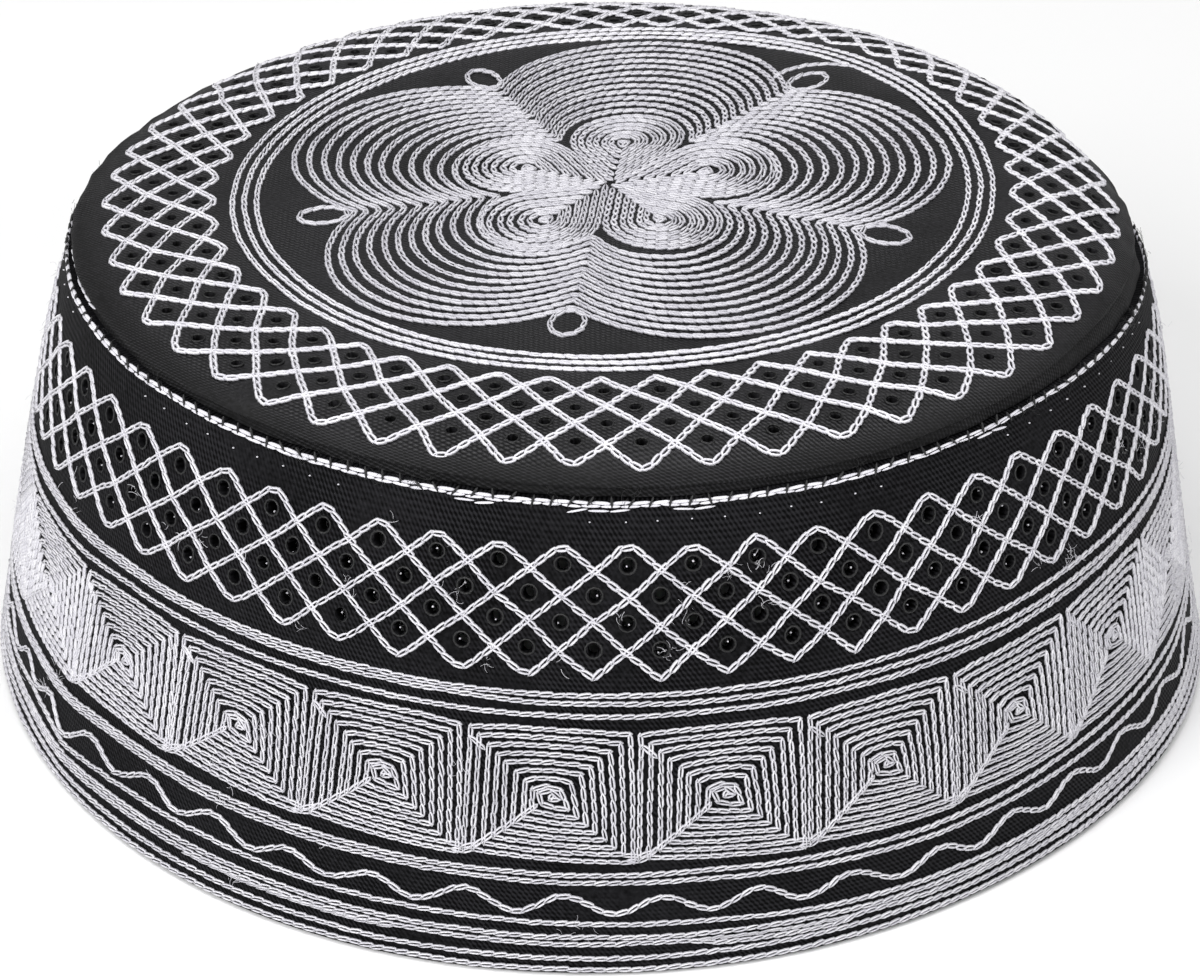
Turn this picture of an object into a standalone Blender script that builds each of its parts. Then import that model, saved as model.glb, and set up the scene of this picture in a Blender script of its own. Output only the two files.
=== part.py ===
"""A kufi: a round cloth cap of two sewn pieces, a leaning side band and a flat crown with a rolled edge.

The cap stands on its rim at z = 0, open below. Azimuths are degrees anticlockwise from +X, and the
front of the cap faces -Y.
"""

import math

import bmesh
import bpy

MM = 0.001

# Driving sizes of the plain round cap, before it sags out of round
RIM_RADIUS = 95.0 * MM
SHOULDER_HEIGHT = 65.8 * MM
WALL_LEAN = 12.3 * MM        # radius that the straight side loses from rim to shoulder
SHOULDER_TURN = 2.5 * MM     # radius lost on top of that, close under the seam
SHOULDER_TURN_POWER = 5.6
CROWN_RISE = 7.9 * MM        # from the seam to the flat of the crown
CROWN_EDGE_POWER = 9.5       # the higher, the tighter the crown's rolled edge
CLOTH = 1.8 * MM             # quilted layers of one wall
SEAM_GAP = 0.3 * MM

# Eyelets that are cut through: the two middle rows of the side band's lattice
DIAMONDS_ROUND = 60
EYELET_RADIUS = 0.8 * MM
UPPER_EYELET_HEIGHT = 55.1 * MM
LOWER_EYELET_HEIGHT = 51.7 * MM
LATTICE_START = math.radians(-90.3)

# The soft cap is out of round. Each row adds a wave round the cap to one measure of it.
# measure, waves round the cap, height of the wave (mm), azimuth of a crest (degrees)
SAG = (
    ("rim radius", 1, 0.2, 81),
    ("rim radius", 2, 1.0, 81),
    ("rim radius", 3, 0.8, -2),
    ("rim radius", 5, 0.5, -22),
    ("rim radius", 6, 0.3, -6),
    ("belly radius", 1, 0.5, -97),
    ("belly radius", 2, 0.7, 87),
    ("belly radius", 3, 0.7, -53),
    ("shoulder radius", 1, 0.7, -32),
    ("shoulder radius", 2, 0.3, 17),
    ("shoulder radius", 3, 0.5, 58),
    ("shoulder radius", 4, 0.2, -8),
    ("shoulder radius", 5, 0.4, -7),
    ("shoulder radius", 6, 0.2, -29),
    ("belly height", 2, 0.4, 22),
    ("belly height", 3, 0.7, -24),
    ("crown height", 1, 4.2, 12),
    ("crown height", 2, 0.8, 27),
    ("crown height", 3, 1.4, 32),
    ("crown height", 4, 0.6, 20),
    ("crown height", 5, 0.3, -21),
    ("edge height", 1, 5.7, -140),
    ("edge height", 2, 1.4, -53),
    ("edge height", 3, 2.4, -31),
    ("edge height", 4, 0.6, -20),
)
EDGE_FALL_ON_BAND = 4        # how fast the edge's wave dies away down the band
EDGE_FALL_ON_CROWN = 6       # and towards the crown's centre

# Middle of the sagged cap's outline, which the origin stands under
OUTLINE_MIDDLE_X = 0.67 * MM
OUTLINE_MIDDLE_Y = -0.15 * MM

# Rows of the two grids
BAND_COLUMNS = 2 * DIAMONDS_ROUND
BAND_HEIGHTS = [h * MM for h in (0.0, 14.0, 28.0, 39.0, 47.0)]
BAND_HEIGHTS += [LOWER_EYELET_HEIGHT, UPPER_EYELET_HEIGHT]
BAND_HEIGHTS += [h * MM for h in (58.5, 61.5, 64.0)] + [SHOULDER_HEIGHT]
CROWN_COLUMNS = 60
CROWN_ROLL_ANGLES = (0, 28, 48, 64, 76, 84)
CROWN_INNER_SHARES = (0.62, 0.3, 0.0)

CLOTH_BLACK = (0.012, 0.012, 0.014)
CROWN_BLACK = (0.018, 0.018, 0.021)
MERGE_DISTANCE = 0.01 * MM


def clear_scene():
    for item in list(bpy.data.objects):
        bpy.data.objects.remove(item, do_unlink=True)


def cloth_material(name, colour, roughness):
    material = bpy.data.materials.new(name)
    material.use_nodes = True
    shader = material.node_tree.nodes["Principled BSDF"]
    shader.inputs["Base Color"].default_value = (*colour, 1.0)
    shader.inputs["Roughness"].default_value = roughness
    shader.inputs["Metallic"].default_value = 0.0
    return material


def sag(measure, azimuth):
    """Sum of one measure's waves at an azimuth, in metres."""
    total = 0.0
    for kind, waves, height, crest in SAG:
        if kind == measure:
            total += height * MM * math.cos(waves * (azimuth - math.radians(crest)))
    return total


def belly(share):
    """How much of the belly's waves a height share of the band takes: all halfway up, none at its ends."""
    return 4.0 * share * (1.0 - share)


def band_radius(share):
    """Outer radius of the plain band at a share of the shoulder height."""
    return RIM_RADIUS - WALL_LEAN * share - SHOULDER_TURN * share ** SHOULDER_TURN_POWER


def sag_band(mesh):
    """Push the plain band's points out of round."""
    for point in mesh.verts:
        azimuth = math.atan2(point.co.y, point.co.x)
        share = point.co.z / SHOULDER_HEIGHT
        radius = math.hypot(point.co.x, point.co.y)
        radius += sag("rim radius", azimuth) * (1.0 - share)
        radius += sag("belly radius", azimuth) * belly(share)
        radius += sag("shoulder radius", azimuth) * share
        point.co.x = radius * math.cos(azimuth)
        point.co.y = radius * math.sin(azimuth)
        point.co.z += sag("belly height", azimuth) * belly(share)
        point.co.z += sag("crown height", azimuth) * share
        point.co.z += sag("edge height", azimuth) * share ** EDGE_FALL_ON_BAND


def sag_crown(mesh):
    """Push the plain crown's points out of round, so that its edge follows the band's top."""
    edge_radius = band_radius(1.0)
    for point in mesh.verts:
        azimuth = math.atan2(point.co.y, point.co.x)
        radius = math.hypot(point.co.x, point.co.y)
        share = radius / edge_radius
        radius += sag("shoulder radius", azimuth) * share
        point.co.x = radius * math.cos(azimuth)
        point.co.y = radius * math.sin(azimuth)
        point.co.z += sag("crown height", azimuth) * share
        point.co.z += sag("edge height", azimuth) * share ** EDGE_FALL_ON_CROWN


def spun(profile, columns):
    """Turn a list of (radius, height) once round the Z axis, starting at the lattice's front diamond."""
    mesh = bmesh.new()
    points = [
        mesh.verts.new((radius * math.cos(LATTICE_START), radius * math.sin(LATTICE_START), height))
        for radius, height in profile
    ]
    edges = [mesh.edges.new(pair) for pair in zip(points, points[1:])]
    bmesh.ops.spin(
        mesh,
        geom=points + edges,
        cent=(0.0, 0.0, 0.0),
        axis=(0.0, 0.0, 1.0),
        angle=math.tau,
        steps=columns,
        use_merge=True,
    )
    bmesh.ops.remove_doubles(mesh, verts=mesh.verts, dist=MERGE_DISTANCE)
    bmesh.ops.recalc_face_normals(mesh, faces=mesh.faces)
    return mesh


def cut_eyelets(mesh):
    """Open an eight-sided hole at every eyelet of the two middle rows."""
    pitch = math.tau / DIAMONDS_ROUND
    eyelets = []
    for point in mesh.verts:
        turns = (math.atan2(point.co.y, point.co.x) - LATTICE_START) / pitch
        on_diamond = abs(turns - round(turns)) < 0.25
        upper = abs(point.co.z - UPPER_EYELET_HEIGHT) < MERGE_DISTANCE
        lower = abs(point.co.z - LOWER_EYELET_HEIGHT) < MERGE_DISTANCE
        if (upper and on_diamond) or (lower and not on_diamond):
            eyelets.append(point)
    middles = [point.co.copy() for point in eyelets]
    corners = bmesh.ops.bevel(
        mesh,
        geom=eyelets,
        offset=EYELET_RADIUS,
        offset_type="OFFSET",
        segments=2,
        profile=0.5,
        affect="VERTICES",
        material=-1,
    )
    bmesh.ops.delete(mesh, geom=corners["faces"], context="FACES")
    rims = [point for point in mesh.verts if point.is_boundary]
    for middle in middles:
        for point in rims:
            reach = point.co - middle
            if reach.length < 1.5 * EYELET_RADIUS:
                point.co = middle + reach.normalized() * EYELET_RADIUS


def thicken(mesh, level_edge):
    """Give the outer skin its wall, inwards. Points on a level edge move level, so that it stays flat."""
    mesh.normal_update()
    inward = mesh.verts.layers.float_vector.new("inward")
    for point in mesh.verts:
        step = -point.normal
        if level_edge(point):
            step.z = 0.0
            step.normalize()
        point[inward] = step * CLOTH
    skin = bmesh.ops.extrude_face_region(mesh, geom=mesh.faces[:])
    for item in skin["geom"]:
        if isinstance(item, bmesh.types.BMVert):
            item.co += item[inward]
    bmesh.ops.recalc_face_normals(mesh, faces=mesh.faces)


def finish(mesh, name, material):
    """Centre the sagged piece over the origin and make it an object."""
    bmesh.ops.translate(mesh, verts=mesh.verts, vec=(-OUTLINE_MIDDLE_X, -OUTLINE_MIDDLE_Y, 0.0))
    data = bpy.data.meshes.new(name)
    mesh.to_mesh(data)
    mesh.free()
    data.materials.append(material)
    data.shade_smooth()
    data.set_sharp_from_angle(angle=math.radians(40.0))
    piece = bpy.data.objects.new(name, data)
    bpy.context.scene.collection.objects.link(piece)
    return piece


def side_band():
    profile = [(band_radius(height / SHOULDER_HEIGHT), height) for height in BAND_HEIGHTS]
    mesh = spun(profile, BAND_COLUMNS)
    cut_eyelets(mesh)
    sag_band(mesh)
    thicken(mesh, level_edge=lambda point: True)
    return finish(mesh, "side_band", cloth_material("band_cloth", CLOTH_BLACK, 0.6))


def crown_panel():
    edge_radius = band_radius(1.0)
    foot = SHOULDER_HEIGHT + SEAM_GAP
    profile = []
    for degrees in CROWN_ROLL_ANGLES:
        roll = math.radians(degrees)
        radius = edge_radius * math.cos(roll) ** (2.0 / CROWN_EDGE_POWER)
        profile.append((radius, foot + CROWN_RISE * math.sin(roll)))
    profile += [(edge_radius * share, foot + CROWN_RISE) for share in CROWN_INNER_SHARES]
    mesh = spun(profile, CROWN_COLUMNS)
    sag_crown(mesh)
    thicken(mesh, level_edge=lambda point: point.is_boundary)
    return finish(mesh, "crown_panel", cloth_material("crown_cloth", CROWN_BLACK, 0.45))


def main():
    clear_scene()
    side_band()
    crown_panel()


main()
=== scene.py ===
"""Looks of the kufi: two cloth pieces, their chain-stitch embroidery, seam stitches, camera and light.

Sizes are in millimetres in the tables and where a surface takes them, and in metres in the meshes and
materials. Azimuths are degrees anticlockwise from +X. The tables of the side band count theirs from the
front, -Y, and grow towards +X.
"""

import math
import random

import bmesh
import bpy
import numpy as np
from mathutils import Matrix, Vector, kdtree, noise


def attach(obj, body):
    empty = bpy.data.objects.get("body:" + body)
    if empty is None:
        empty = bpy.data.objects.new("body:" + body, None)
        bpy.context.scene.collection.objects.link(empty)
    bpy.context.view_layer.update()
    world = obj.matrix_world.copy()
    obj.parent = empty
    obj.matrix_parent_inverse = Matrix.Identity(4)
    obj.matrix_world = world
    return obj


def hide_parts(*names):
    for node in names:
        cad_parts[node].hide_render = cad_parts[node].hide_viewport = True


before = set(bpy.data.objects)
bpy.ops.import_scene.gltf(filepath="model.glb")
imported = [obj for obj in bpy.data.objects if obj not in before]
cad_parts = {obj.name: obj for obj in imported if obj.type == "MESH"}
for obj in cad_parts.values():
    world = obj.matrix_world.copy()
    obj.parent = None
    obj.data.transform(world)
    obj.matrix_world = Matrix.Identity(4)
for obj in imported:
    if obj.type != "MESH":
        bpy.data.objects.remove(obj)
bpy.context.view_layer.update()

MM = 0.001
DEG = math.pi / 180.0
FRONT = -90.0

# The plain cap, as the part's source has it
RIM_RADIUS = 95.0
SHOULDER_HEIGHT = 65.8
WALL_LEAN = 12.3
SHOULDER_TURN = 2.5
SHOULDER_TURN_POWER = 5.6
CROWN_RISE = 7.9
CROWN_EDGE_POWER = 9.5
CLOTH = 1.8
SEAM_GAP = 0.3
EDGE_RADIUS = RIM_RADIUS - WALL_LEAN - SHOULDER_TURN
OUTLINE_MIDDLE = (0.67, -0.15)

# Waves round the cap that sag it out of round, as a fit to the photo gave them: count, height (mm) and
# azimuth of a crest (degrees)
SAG = {
    "rim radius": ((1, 0.2, 81), (2, 1.0, 81), (3, 0.8, -2), (5, 0.5, -22), (6, 0.3, -6)),
    "belly radius": ((1, 0.5, -97), (2, 0.7, 87), (3, 0.7, -53)),
    "shoulder radius": (
        (1, 0.7, -32), (2, 0.3, 17), (3, 0.5, 58), (4, 0.2, -8), (5, 0.4, -7), (6, 0.2, -29),
    ),
    "belly height": ((2, 0.4, 22), (3, 0.7, -24)),
    "crown height": ((1, 4.2, 12), (2, 0.8, 27), (3, 1.4, 32), (4, 0.6, 20), (5, 0.3, -21)),
    "edge height": ((1, 5.7, -140), (2, 1.4, -53), (3, 2.4, -31), (4, 0.6, -20)),
}

# Stitches
LINK_PITCH = 1.75
LINK_LENGTH = 2.7
LINK_WIDTH = 1.0
STRAND = 0.45
STITCH_LIFT = 0.18
LINK_TWIST = 0.06
CROWN_WIDTH = 1.15

# Heights of the band's lines at these azimuths from the front. Behind them the end values hold.
STATIONS = (-80, -70, -65, -60, -57, -50, -45, -35, -20, -10, 0, 10, 20, 30, 40, 50, 60, 70, 80)
BAND_LINES = {
    "upper_a": (41.9, 41.6, 41.75, 41.6, 41.7, 42.2, 42.1, 42.1, 42.1, 42.1, 42.2, 42.4, 42.3, 42.3, 42.4,
                42.5, 42.3, 41.8, 41.9),
    "upper_b": (41.0, 40.75, 41.0, 40.75, 40.8, 41.3, 41.3, 41.3, 41.25, 41.2, 41.1, 41.1, 40.9, 40.75, 40.4,
                40.4, 40.25, 39.9, 40.6),
    "upper_c": (38.9, 37.9, 38.2, 38.2, 38.4, 39.3, 39.25, 39.2, 39.2, 39.2, 39.4, 39.6, 39.6, 39.4, 39.2,
                39.3, 39.4, 39.2, 39.2),
    "square_top": (37.2, 36.5, 36.6, 36.4, 36.7, 37.3, 37.3, 37.3, 37.3, 37.3, 37.3, 37.25, 37.2, 37.0,
                   36.6, 37.0, 37.2, 36.5, 37.0),
    "square_foot": (18.2, 18.3, 18.1, 17.6, 17.5, 18.5, 18.6, 18.5, 18.2, 18.1, 18.1, 18.0, 17.4, 16.9,
                    16.5, 16.6, 16.8, 16.9, 17.8),
    "middle_a": (16.0, 15.9, 15.75, 15.1, 14.9, 16.0, 16.3, 16.2, 16.0, 16.0, 16.1, 16.2, 15.6, 14.9, 14.9,
                 15.25, 15.25, 15.2, 15.8),
    "middle_b": (15.0, 14.9, 14.75, 14.1, 14.0, 15.1, 15.3, 15.1, 15.0, 14.9, 14.9, 14.9, 14.2, 13.4, 13.1,
                 13.1, 12.9, 13.2, 14.6),
    "wave_foot": (9.8, 9.4, 9.3, 8.9, 8.6, 9.6, 9.9, 9.9, 9.8, 9.8, 9.8, 9.8, 9.1, 8.3, 8.0, 8.2, 8.5, 8.2,
                  9.4),
    "lower_a": (8.5, 8.6, 9.0, 7.8, 6.6, 7.9, 8.6, 8.8, 8.5, 8.5, 8.4, 8.2, 7.1, 6.5, 6.1, 6.2, 6.2, 6.2,
                8.0),
    "lower_b": (6.2, 6.2, 6.0, 5.2, 4.9, 5.7, 6.1, 6.3, 6.2, 6.2, 6.2, 6.15, 5.75, 5.1, 4.9, 5.0, 5.1, 5.1,
                6.0),
    "lower_c": (5.2, 5.2, 5.1, 4.3, 4.0, 4.7, 5.1, 5.2, 5.1, 5.1, 5.1, 5.2, 4.75, 4.1, 4.1, 4.2, 4.3, 4.3,
                5.0),
    "lower_d": (3.2, 3.4, 3.3, 2.6, 2.3, 2.6, 2.7, 2.8, 2.7, 2.7, 2.8, 2.9, 2.9, 2.7, 2.7, 2.9, 3.1, 3.1,
                3.0),
    "hem": (1.1, 1.3, 1.2, 0.9, 0.9, 0.9, 0.9, 1.0, 1.0, 1.0, 1.0, 1.0, 1.1, 1.1, 1.2, 1.3, 1.5, 1.6, 1.2),
}

# Nested squares of the band
SQUARES = 24
SQUARE_START = -10.94 + 7.1
SQUARE_TURNS = 8
SQUARE_LEFT = 7.22
SQUARE_RIGHT = 7.1
SQUARE_STEP = 0.83
SQUARE_TOP_STEP = 1.15
SQUARE_FOOT_STEP = 1.11
SQUARE_HEIGHT = 19.1
SQUARE_WIDTH = 0.9
LINE_WIDTH = 0.9

# Wave under the squares: azimuth from the front and height of each turn, then how it goes on behind
WAVE_TURNS = (
    (-67, 12.7), (-64, 9.9), (-60.5, 11.8), (-57.5, 7.9), (-52, 12.2), (-48, 9.8), (-43, 12.9),
    (-39.5, 10.1), (-35, 12.9), (-31, 10.1), (-27, 12.3), (-23.2, 10.1), (-19, 12.3), (-15.2, 9.9),
    (-10.7, 12.9), (-6.5, 9.9), (-2.3, 12.8), (2.0, 9.9), (6.0, 12.6), (10.2, 9.9), (14.3, 12.4),
    (18.5, 9.3), (22.7, 11.6), (27.8, 8.5), (32, 10.9), (36, 8.2), (40.3, 11.1), (44.5, 8.6),
    (48.5, 11.2), (53, 8.7), (56.5, 11.3), (62, 8.6), (65.5, 11.2), (71, 8.6),
)
WAVES_BEHIND = 28
WAVE_BEHIND = (12.6, 9.9)

# Lattice of the band
BAND_DIAMONDS = 60
BAND_LATTICE_START = -0.24
BAND_NODES = (44.7, 48.0, 51.5, 54.8, 58.2, 61.0)
BAND_EYELETS = (48.3, 51.7, 55.1, 58.7)

# Crown: pattern's middle on the plain crown, the width over which it gives way to the cap's own middle
# near the edge, rings and lattice
PATTERN_MIDDLE = (0.76, 0.70)
PATTERN_HOLD = 6.0
RINGS = (52.6, 54.4, 56.2)
CROWN_DIAMONDS = 50
CROWN_LATTICE_START = -90.8
CROWN_LATTICE_INNER = 58.7
LATTICE_STATIONS = (-180, -165, -150, -135, -120, -107, -94, -80, -66, -52, -38, -24, -10, 5, 160, 180)
LATTICE_OUTER = (75.8, 75.9, 76.9, 77.8, 78.4, 78.3, 78.2, 78.3, 77.8, 77.5, 77.0, 75.7, 75.4, 75.6, 76.0,
                 75.8)
# Azimuth and turn (degrees) of the lattice's outer tips there. From 0 round to 172 the rise is a guess.
LATTICE_TURNS = (
    (-180, 4.0), (-166, 4.8), (-150, 3.6), (-125, 3.1), (-108, 2.9), (-94, 1.5), (-80, 0.6), (-60, 0.3),
    (0, 0.3), (172, 3.3), (180, 4.0),
)
INNER_TURN_SHARE = 0.2
CROWN_NODE_SHARES = (0.0, 0.17, 0.385, 0.605, 0.815, 1.0)
CROWN_EYELET_SHARES = (0.17, 0.39, 0.59, 0.80)
TIP_CUT = (0.15, 0.06)       # shares of azimuth and height cut off a lattice's tips

# Flower of the crown: azimuths of the petals and of the notches between them
PETALS = (-63.0, 7.5, 84.0, 157.0, 226.5)
NOTCHES = (-97.5, -22.5, 45.5, 118.5, 191.5, 262.5)
PETAL_LINES = 12
PETAL_APEX = (50.3, 50.8, 51.3, 50.6, 49.3)
PETAL_APEX_STEP = 2.32
PETAL_NOTCH = 38.3
PETAL_NOTCH_STEP = 1.95
HEARTS = ((-57.0, 13.8), (10.0, 15.0), (82.0, 14.3), (155.5, 14.2), (229.0, 14.7))
HEART_NOTCHES = (-95.5, -19.5, 44.5, 116.5, 190.0, 264.5)
HEART_RADII = (0.551, 0.475, 0.39, 0.315, 0.225, 0.15, 0.055)

# Radii of the eyelets' holes
BAND_HOLE = 0.92
CROWN_HOLE = 0.78

# Crown seam: height of the drawn-in strip above the seam at these azimuths from the front
TUCK_STATIONS = (-180, -80, -50, 0, 25, 45, 60, 80, 110, 180)
TUCK_HEIGHTS = (1.4, 1.6, 1.5, 1.5, 1.5, 2.2, 3.2, 3.4, 2.0, 1.4)
TUCK_DEPTH = 0.95
SEAM_STITCH = 2.65
HAIR_BEND = 1.5
SEAM_STATIONS = (-180, -85, -62, -25, -5, 25, 38, 80, 110, 180)
SEAM_WEIGHTS = (0.48, 0.48, 0.60, 0.56, 0.48, 0.45, 0.34, 0.34, 0.48, 0.48)
DOUBLED_SEAM = ((-14, -10), (-3, 3), (7, 11), (40, 44), (95, 130), (200, 230))
SEED = 20
# The crown's cloth is spun flat by marks: 0 to 1 over the lattice, below 0 inside it, above 1 on the roll
MARK_STEP = 0.02
MARK_START = 1.001
MAP_RADIUS = 0.088           # at which the band's cloth is unrolled for its weave
MERGE_DISTANCE = 1e-6

TWILL_WANDER = 5.0
CLOTH_DARK = (0.0004, 0.0004, 0.0006)

# Camera fitted to the photo: elevation, yaw, pitch and roll (degrees), distance (m), focal length (pixels)
CAMERA_ANGLES = (32.793, 0.057, -1.58, 1.028)
CAMERA_DISTANCE = 0.65328
CAMERA_FOCUS = 4102.5
PHOTO_WIDTH = 1200.0
SENSOR_WIDTH = 36.0


# Surfaces

def wrapped(azimuth):
    """The same azimuths between -180 and 180 degrees."""
    return (np.asarray(azimuth, dtype=float) + 180.0) % 360.0 - 180.0


def sag(measure, azimuth):
    """Sum of one measure's waves, in millimetres, at azimuths in degrees."""
    total = np.zeros_like(azimuth, dtype=float)
    for waves, height, crest in SAG[measure]:
        total += height * np.cos(waves * (azimuth - crest) * DEG)
    return total


def standing(radius, azimuth, height):
    """Points in metres, with the middle of the cap's outline over the origin."""
    x = radius * np.cos(azimuth * DEG) - OUTLINE_MIDDLE[0]
    y = radius * np.sin(azimuth * DEG) - OUTLINE_MIDDLE[1]
    return np.stack([x, y, height], axis=-1) * MM


def band_point(from_front, height):
    """Points of the band's outer face, in metres, at azimuths from the front and heights in millimetres."""
    azimuth = np.asarray(from_front, dtype=float) + FRONT
    height = np.asarray(height, dtype=float)
    share = height / SHOULDER_HEIGHT
    held = np.clip(share, 0.0, 1.0)
    belly = 4.0 * held * (1.0 - held)
    radius = RIM_RADIUS - WALL_LEAN * share - SHOULDER_TURN * held ** SHOULDER_TURN_POWER
    radius = radius + sag("rim radius", azimuth) * (1.0 - held) + sag("belly radius", azimuth) * belly
    radius = radius + sag("shoulder radius", azimuth) * held
    rise = sag("belly height", azimuth) * belly + sag("crown height", azimuth) * held
    rise = rise + sag("edge height", azimuth) * held ** 4
    return standing(radius, azimuth, height + rise)


def crown_from_axis(x, y):
    """Points of the crown's outer face, in metres, at places on the plain crown in millimetres."""
    radius = np.hypot(x, y)
    azimuth = np.arctan2(y, x) / DEG
    share = np.clip(radius / EDGE_RADIUS, 0.0, 1.0)
    z = SHOULDER_HEIGHT + SEAM_GAP + CROWN_RISE * np.sqrt(np.clip(1.0 - share ** CROWN_EDGE_POWER, 0.0, 1.0))
    z = z + sag("crown height", azimuth) * share + sag("edge height", azimuth) * share ** 6
    return standing(radius + sag("shoulder radius", azimuth) * share, azimuth, z)


def crown_place(azimuth, radius):
    """Places on the plain crown, in millimetres, of polar places about the pattern's middle."""
    azimuth = np.asarray(azimuth, dtype=float) * DEG
    radius = np.asarray(radius, dtype=float)
    hold = np.clip((EDGE_RADIUS - radius) / PATTERN_HOLD, 0.0, 1.0)
    x = radius * np.cos(azimuth) + PATTERN_MIDDLE[0] * hold
    y = radius * np.sin(azimuth) + PATTERN_MIDDLE[1] * hold
    return x, y


def crown_point(azimuth, radius):
    """Points of the crown's outer face, in metres, at polar places about the pattern's middle."""
    return crown_from_axis(*crown_place(azimuth, radius))


def unit(vectors):
    """The same directions at length one."""
    return vectors / np.maximum(np.linalg.norm(vectors, axis=-1, keepdims=True), 1e-12)


def normals(surface, u, v, step=0.05):
    """Outward normals of a surface of two parameters."""
    along_u = surface(u + step, v) - surface(u - step, v)
    along_v = surface(u, v + step) - surface(u, v - step)
    return unit(np.cross(along_u, along_v))


def crown_normals(azimuth, radius):
    """Outward normals of the crown, taken over a flat step so that its middle is no special case."""
    x, y = crown_place(azimuth, np.minimum(radius, EDGE_RADIUS - 0.02))
    return normals(crown_from_axis, x, y, 0.01)


def band_normals(from_front, height):
    return normals(band_point, from_front, height)


BAND = (band_point, band_normals)
CROWN = (crown_point, crown_normals)


def frames(face, u, v):
    """Points of a face and its outward normals there."""
    surface, normal_of = face
    return surface(u, v), normal_of(u, v)


def along_band(from_front, height):
    """Directions round the band, not of length one."""
    return band_point(from_front + 0.5, height) - band_point(from_front - 0.5, height)


def line_height(name, from_front):
    """Height of one of the band's lines at azimuths from the front."""
    return np.interp(wrapped(from_front), STATIONS, BAND_LINES[name])


def lattice_place(azimuth, share):
    """Azimuth and radius in the leaning crown lattice of a place given by its even azimuth and share."""
    azimuth = np.asarray(azimuth, dtype=float)
    stations, turns = zip(*LATTICE_TURNS)
    held = np.clip(share, 0.0, 1.0)
    lean = INNER_TURN_SHARE + (1.0 - INNER_TURN_SHARE) * held
    inner = CROWN_LATTICE_INNER + 0.5 * np.cos(4.0 * azimuth * DEG)
    outer = np.interp(wrapped(azimuth), LATTICE_STATIONS, LATTICE_OUTER)
    return azimuth + lean * np.interp(wrapped(azimuth), stations, turns), inner + held * (outer - inner)


# Laying stitches

def run_along(points):
    """Length of a line up to each of its points."""
    return np.concatenate([[0.0], np.cumsum(np.linalg.norm(np.diff(points, axis=0), axis=1))])


def swung(first, second, angle):
    """Two square directions turned in their plane by an angle, the first towards the second."""
    cosine, sine = np.cos(angle), np.sin(angle)
    return first * cosine + second * sine, second * cosine - first * sine

class Stitching:
    """Frames for the copies of one small shape: middle, direction, outward normal and size of each."""

    def __init__(self, seed):
        self.rows = []
        self.draw = np.random.default_rng(seed)

    def follow(self, face, u, v, pitch=LINK_PITCH, lift=STITCH_LIFT, tilt=0.05, loose=1.0, width=1.0,
               twist=LINK_TWIST):
        """Lay copies from needle hole to needle hole along a line given by the two parameters of a face."""
        surface, normal_of = face
        u, v = np.asarray(u, dtype=float), np.asarray(v, dtype=float)
        points = surface(u, v)
        run = run_along(points)
        count = max(1, round(run[-1] / (pitch * MM)))
        step = run[-1] / count
        stops = np.arange(count + 1) * step
        holes = surface(np.interp(stops, run, u), np.interp(stops, run, v))
        halfway = stops[:-1] + 0.5 * step
        up = normal_of(np.interp(halfway, run, u), np.interp(halfway, run, v))
        forward = holes[1:] - holes[:-1]
        stretch = np.linalg.norm(forward, axis=1) / (pitch * MM)
        width = np.interp(halfway, run, np.broadcast_to(width, u.shape))
        self.add(0.5 * (holes[1:] + holes[:-1]), forward, up, stretch, lift, tilt, loose, width, twist)

    def add(self, middles, forward, up, stretch=1.0, lift=STITCH_LIFT, tilt=0.0, loose=1.0, width=1.0,
            twist=0.0):
        """Lay a copy at every middle, square to the normal there, with the small faults of real stitches."""
        count = len(middles)
        forward = unit(forward - up * np.sum(forward * up, axis=1, keepdims=True))
        side = np.cross(up, forward)
        forward, side = swung(forward, side, twist + self.draw.normal(0.0, 0.05 * loose, (count, 1)))
        up, forward = swung(up, forward, tilt + self.draw.normal(0.0, 0.03 * loose, (count, 1)))
        shift = self.draw.normal(0.0, 0.03 * loose, (count, 2)) * MM
        middles = middles + side * shift[:, :1] + up * (lift * MM + 0.6 * shift[:, 1:])
        size = np.stack([
            stretch * (1.0 + self.draw.normal(0.0, 0.02 * loose, count)),
            width * (1.0 + self.draw.normal(0.0, 0.05 * loose, count)),
            np.full(count, 1.0),
        ], axis=1)
        tone = self.draw.random(count)
        self.rows.append((middles, forward, side, up, size, tone))

    def gathered(self):
        return [np.concatenate(column) for column in zip(*self.rows)]


def place_in_scene(name, data, material):
    piece = bpy.data.objects.new(name, data)
    bpy.context.scene.collection.objects.link(piece)
    data.materials.append(material)
    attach(piece, "root")
    return piece


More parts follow.
